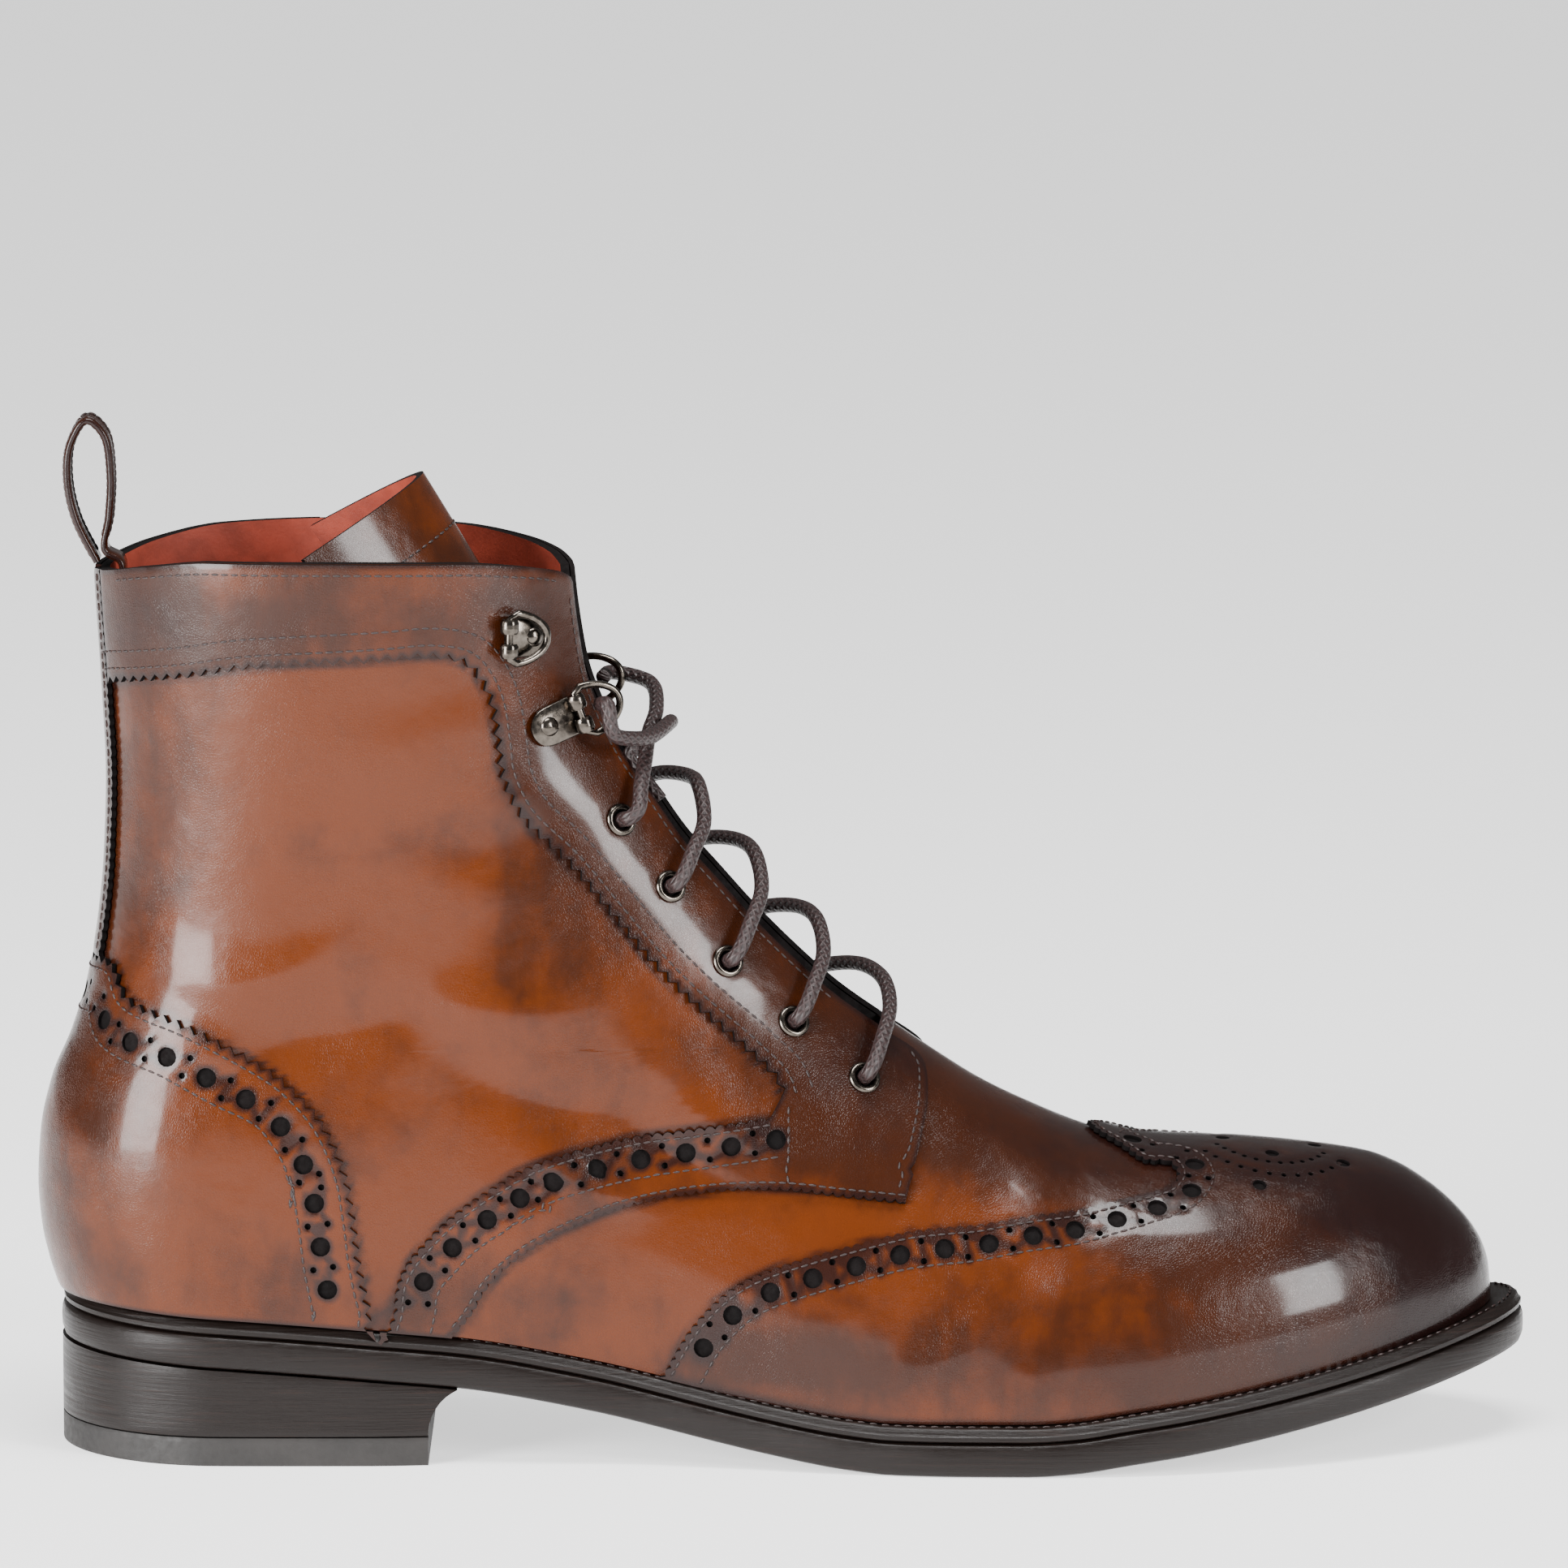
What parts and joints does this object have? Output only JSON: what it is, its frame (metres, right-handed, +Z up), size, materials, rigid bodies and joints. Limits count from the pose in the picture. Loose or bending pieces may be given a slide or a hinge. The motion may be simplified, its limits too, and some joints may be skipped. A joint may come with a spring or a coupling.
{
  "type": "lace-up ankle boot",
  "caption": "Right-foot leather ankle boot with wing cap, punched bands, front lacing through eyelets and rings, inner side zip, back pull loop and low stacked heel.",
  "frame": {"origin": "middle of the heel's flat underside, on the floor", "axes": "+X towards the toe, +Y towards the inner (medial) side, +Z up; heel and forefoot flats lie on z = 0"},
  "size_m": [0.3153, 0.0999, 0.2185],
  "materials": {
    "upper_leather": "polished",
    "dark_leather": "polished",
    "sole_leather": "satin",
    "lift_rubber": "satin",
    "lining_leather": "matte",
    "zip_fabric": "matte",
    "lace_cord": "waxed",
    "gunmetal": "polished"
  },
  "bodies": {
    "boot": {"outsole": "sole_leather", "welt": "sole_leather", "insole": "lining_leather", "heel_block": "sole_leather", "top_lift": "lift_rubber", "upper": "upper_leather", "wing_cap": "dark_leather", "counter": "upper_leather", "back_strip": "upper_leather", "facing_lateral": "upper_leather", "facing_medial": "upper_leather", "cuff_medial_back": "upper_leather", "tongue": "dark_leather", "pull_loop": "dark_leather", "zip_tape": "zip_fabric", "eyelet_lateral_1": "gunmetal", "eyelet_lateral_2": "gunmetal", "eyelet_lateral_3": "gunmetal", "eyelet_lateral_4": "gunmetal", "eyelet_lateral_5": "gunmetal", "eyelet_medial_1": "gunmetal", "eyelet_medial_2": "gunmetal", "eyelet_medial_3": "gunmetal", "eyelet_medial_4": "gunmetal", "eyelet_medial_5": "gunmetal", "ring_clip_lateral_low": "gunmetal", "d_ring_lateral_low": "gunmetal", "ring_clip_lateral_top": "gunmetal", "ring_clip_medial_low": "gunmetal", "d_ring_medial_low": "gunmetal", "ring_clip_medial_top": "gunmetal", "zip_slider": "gunmetal", "lace_crossing_1": "lace_cord", "lace_crossing_2": "lace_cord", "lace_crossing_3": "lace_cord", "lace_crossing_4": "lace_cord", "lace_to_ring": "lace_cord", "lace_end": "lace_cord"},
    "lateral_ring": {"d_ring_lateral_top": "gunmetal"},
    "medial_ring": {"d_ring_medial_top": "gunmetal"},
    "zip_tab": {"zip_pull": "gunmetal"}
  },
  "joints": [
    {"name": "lateral_ring_swing", "type": "hinge", "parent": "boot", "child": "lateral_ring", "pos_m": [0.05686, -0.02969, 0.17552], "axis": [-0.0159, -0.0586, -0.9982], "range_deg": [0, 150]},
    {"name": "medial_ring_swing", "type": "hinge", "parent": "boot", "child": "medial_ring", "pos_m": [0.05696, 0.02888, 0.17551], "axis": [0.015, -0.0582, 0.9982], "range_deg": [0, 150]},
    {"name": "zip_tab_swing", "type": "hinge", "parent": "boot", "child": "zip_tab", "pos_m": [0.02177, 0.03969, 0.17871], "axis": [0.9958, -0.0087, 0.091], "range_deg": [0, 150]}
  ]
}
